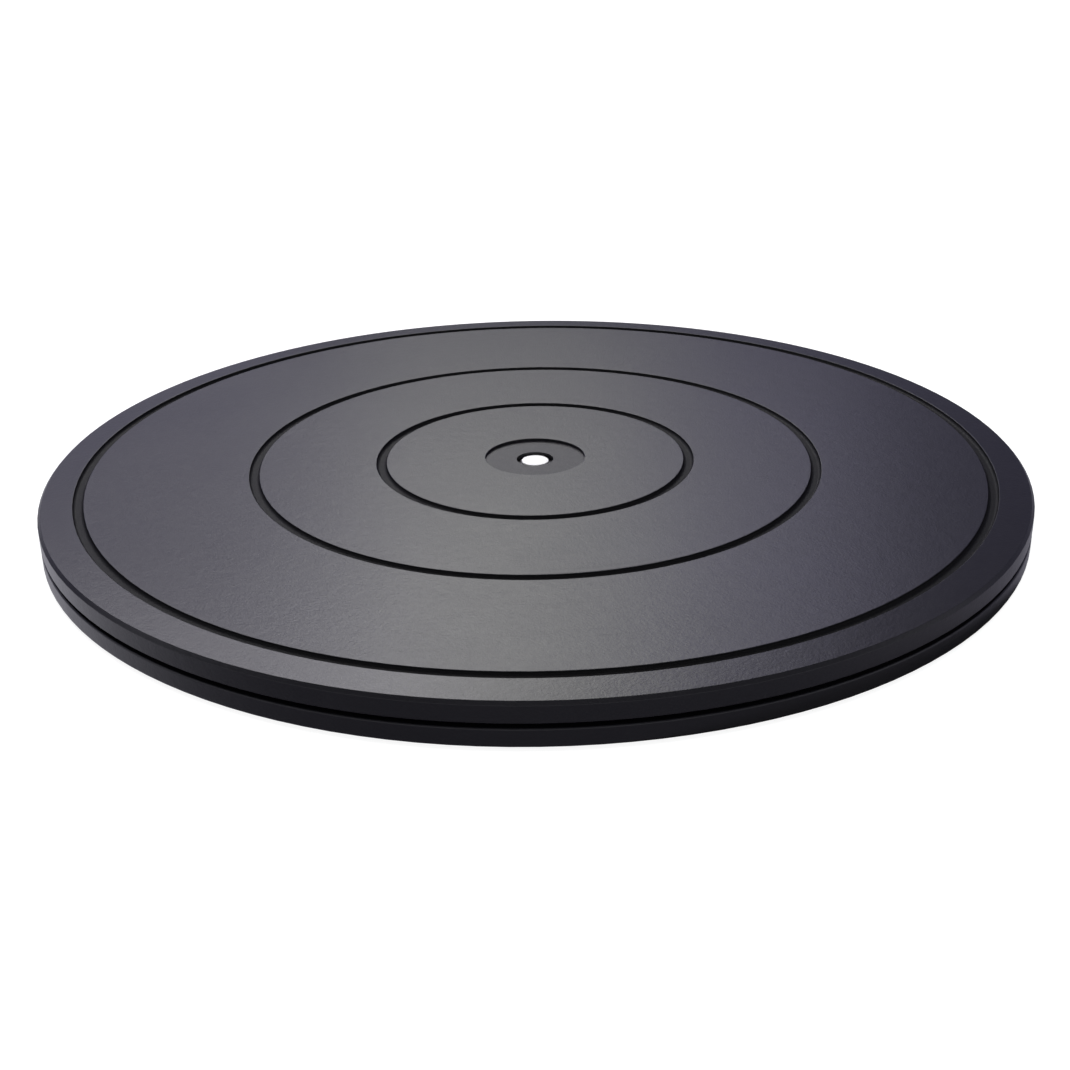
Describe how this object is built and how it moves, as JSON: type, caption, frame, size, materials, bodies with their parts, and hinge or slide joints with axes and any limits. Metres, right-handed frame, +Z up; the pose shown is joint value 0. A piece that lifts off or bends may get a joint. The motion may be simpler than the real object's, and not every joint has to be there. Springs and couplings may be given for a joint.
{
  "type": "sculpting turntable",
  "caption": "Low round sculpting turntable: a grooved black work plate turns on a hidden ball ring over a footed base disc.",
  "frame": {"origin": "on the bench, in the middle of the feet, on the spin axis", "axes": "+Z up along the spin axis; the plate is round, so X and Y are free, and +X and +Y fall between two feet"},
  "size_m": [0.3, 0.3, 0.0137],
  "materials": {
    "plate_plastic": "satin black moulded plastic with a fine grain",
    "base_plastic": "satin black moulded plastic with a fine grain",
    "pin_plastic": "natural white acetal, lightly polished",
    "washer_plastic": "natural nylon",
    "spring_steel": "black phosphated spring steel",
    "race_steel": "zinc-plated pressed steel, lightly greased",
    "ball_steel": "polished bearing steel",
    "cage_plastic": "natural nylon",
    "foot_rubber": "soft black rubber, slightly dusty"
  },
  "bodies": {
    "base": {"base_plate": "base_plastic", "centre_pin": "pin_plastic", "thrust_washer": "washer_plastic", "retaining_ring": "spring_steel", "lower_race": "race_steel", "foot_1": "foot_rubber", "foot_2": "foot_rubber", "foot_3": "foot_rubber", "foot_4": "foot_rubber", "foot_5": "foot_rubber", "foot_6": "foot_rubber", "foot_7": "foot_rubber", "foot_8": "foot_rubber"},
    "platter": {"top_plate": "plate_plastic", "upper_race": "race_steel"},
    "cage": {"ball_cage": "cage_plastic"},
    "ball_01": {"ball_01": "ball_steel"},
    "ball_02": {"ball_02": "ball_steel"},
    "ball_03": {"ball_03": "ball_steel"},
    "ball_04": {"ball_04": "ball_steel"},
    "ball_05": {"ball_05": "ball_steel"},
    "ball_06": {"ball_06": "ball_steel"},
    "ball_07": {"ball_07": "ball_steel"},
    "ball_08": {"ball_08": "ball_steel"},
    "ball_09": {"ball_09": "ball_steel"},
    "ball_10": {"ball_10": "ball_steel"},
    "ball_11": {"ball_11": "ball_steel"},
    "ball_12": {"ball_12": "ball_steel"},
    "ball_13": {"ball_13": "ball_steel"},
    "ball_14": {"ball_14": "ball_steel"},
    "ball_15": {"ball_15": "ball_steel"},
    "ball_16": {"ball_16": "ball_steel"},
    "ball_17": {"ball_17": "ball_steel"},
    "ball_18": {"ball_18": "ball_steel"},
    "ball_19": {"ball_19": "ball_steel"},
    "ball_20": {"ball_20": "ball_steel"}
  },
  "joints": [
    {"name": "platter_spin", "type": "hinge", "parent": "base", "child": "platter", "pos_m": [0, 0, 0.00673], "axis": [0, 0, 1], "continuous": true},
    {"name": "cage_spin", "type": "hinge", "parent": "base", "child": "cage", "pos_m": [0, 0, 0.00673], "axis": [0, 0, 1], "continuous": true},
    {"name": "ball_01_roll", "type": "hinge", "parent": "cage", "child": "ball_01", "pos_m": [0.08889, 0.01408, 0.00673], "axis": [0.9877, 0.1564, 0], "continuous": true},
    {"name": "ball_02_roll", "type": "hinge", "parent": "cage", "child": "ball_02", "pos_m": [0.08019, 0.04086, 0.00673], "axis": [0.891, 0.454, 0], "continuous": true},
    {"name": "ball_03_roll", "type": "hinge", "parent": "cage", "child": "ball_03", "pos_m": [0.06364, 0.06364, 0.00673], "axis": [0.7071, 0.7071, 0], "continuous": true},
    {"name": "ball_04_roll", "type": "hinge", "parent": "cage", "child": "ball_04", "pos_m": [0.04086, 0.08019, 0.00673], "axis": [0.454, 0.891, 0], "continuous": true},
    {"name": "ball_05_roll", "type": "hinge", "parent": "cage", "child": "ball_05", "pos_m": [0.01408, 0.08889, 0.00673], "axis": [0.1564, 0.9877, 0], "continuous": true},
    {"name": "ball_06_roll", "type": "hinge", "parent": "cage", "child": "ball_06", "pos_m": [-0.01408, 0.08889, 0.00673], "axis": [-0.1564, 0.9877, 0], "continuous": true},
    {"name": "ball_07_roll", "type": "hinge", "parent": "cage", "child": "ball_07", "pos_m": [-0.04086, 0.08019, 0.00673], "axis": [-0.454, 0.891, 0], "continuous": true},
    {"name": "ball_08_roll", "type": "hinge", "parent": "cage", "child": "ball_08", "pos_m": [-0.06364, 0.06364, 0.00673], "axis": [-0.7071, 0.7071, 0], "continuous": true},
    {"name": "ball_09_roll", "type": "hinge", "parent": "cage", "child": "ball_09", "pos_m": [-0.08019, 0.04086, 0.00673], "axis": [-0.891, 0.454, 0], "continuous": true},
    {"name": "ball_10_roll", "type": "hinge", "parent": "cage", "child": "ball_10", "pos_m": [-0.08889, 0.01408, 0.00673], "axis": [-0.9877, 0.1564, 0], "continuous": true},
    {"name": "ball_11_roll", "type": "hinge", "parent": "cage", "child": "ball_11", "pos_m": [-0.08889, -0.01408, 0.00673], "axis": [-0.9877, -0.1564, 0], "continuous": true},
    {"name": "ball_12_roll", "type": "hinge", "parent": "cage", "child": "ball_12", "pos_m": [-0.08019, -0.04086, 0.00673], "axis": [-0.891, -0.454, 0], "continuous": true},
    {"name": "ball_13_roll", "type": "hinge", "parent": "cage", "child": "ball_13", "pos_m": [-0.06364, -0.06364, 0.00673], "axis": [-0.7071, -0.7071, 0], "continuous": true},
    {"name": "ball_14_roll", "type": "hinge", "parent": "cage", "child": "ball_14", "pos_m": [-0.04086, -0.08019, 0.00673], "axis": [-0.454, -0.891, 0], "continuous": true},
    {"name": "ball_15_roll", "type": "hinge", "parent": "cage", "child": "ball_15", "pos_m": [-0.01408, -0.08889, 0.00673], "axis": [-0.1564, -0.9877, 0], "continuous": true},
    {"name": "ball_16_roll", "type": "hinge", "parent": "cage", "child": "ball_16", "pos_m": [0.01408, -0.08889, 0.00673], "axis": [0.1564, -0.9877, 0], "continuous": true},
    {"name": "ball_17_roll", "type": "hinge", "parent": "cage", "child": "ball_17", "pos_m": [0.04086, -0.08019, 0.00673], "axis": [0.454, -0.891, 0], "continuous": true},
    {"name": "ball_18_roll", "type": "hinge", "parent": "cage", "child": "ball_18", "pos_m": [0.06364, -0.06364, 0.00673], "axis": [0.7071, -0.7071, 0], "continuous": true},
    {"name": "ball_19_roll", "type": "hinge", "parent": "cage", "child": "ball_19", "pos_m": [0.08019, -0.04086, 0.00673], "axis": [0.891, -0.454, 0], "continuous": true},
    {"name": "ball_20_roll", "type": "hinge", "parent": "cage", "child": "ball_20", "pos_m": [0.08889, -0.01408, 0.00673], "axis": [0.9877, -0.1564, 0], "continuous": true}
  ],
  "couplings": [
    {"joint": "cage_spin", "follows": "platter_spin", "ratio": 0.5},
    {"joint": "ball_01_roll", "follows": "platter_spin", "ratio": -18},
    {"joint": "ball_02_roll", "follows": "platter_spin", "ratio": -18},
    {"joint": "ball_03_roll", "follows": "platter_spin", "ratio": -18},
    {"joint": "ball_04_roll", "follows": "platter_spin", "ratio": -18},
    {"joint": "ball_05_roll", "follows": "platter_spin", "ratio": -18},
    {"joint": "ball_06_roll", "follows": "platter_spin", "ratio": -18},
    {"joint": "ball_07_roll", "follows": "platter_spin", "ratio": -18},
    {"joint": "ball_08_roll", "follows": "platter_spin", "ratio": -18},
    {"joint": "ball_09_roll", "follows": "platter_spin", "ratio": -18},
    {"joint": "ball_10_roll", "follows": "platter_spin", "ratio": -18},
    {"joint": "ball_11_roll", "follows": "platter_spin", "ratio": -18},
    {"joint": "ball_12_roll", "follows": "platter_spin", "ratio": -18},
    {"joint": "ball_13_roll", "follows": "platter_spin", "ratio": -18},
    {"joint": "ball_14_roll", "follows": "platter_spin", "ratio": -18},
    {"joint": "ball_15_roll", "follows": "platter_spin", "ratio": -18},
    {"joint": "ball_16_roll", "follows": "platter_spin", "ratio": -18},
    {"joint": "ball_17_roll", "follows": "platter_spin", "ratio": -18},
    {"joint": "ball_18_roll", "follows": "platter_spin", "ratio": -18},
    {"joint": "ball_19_roll", "follows": "platter_spin", "ratio": -18},
    {"joint": "ball_20_roll", "follows": "platter_spin", "ratio": -18}
  ]
}
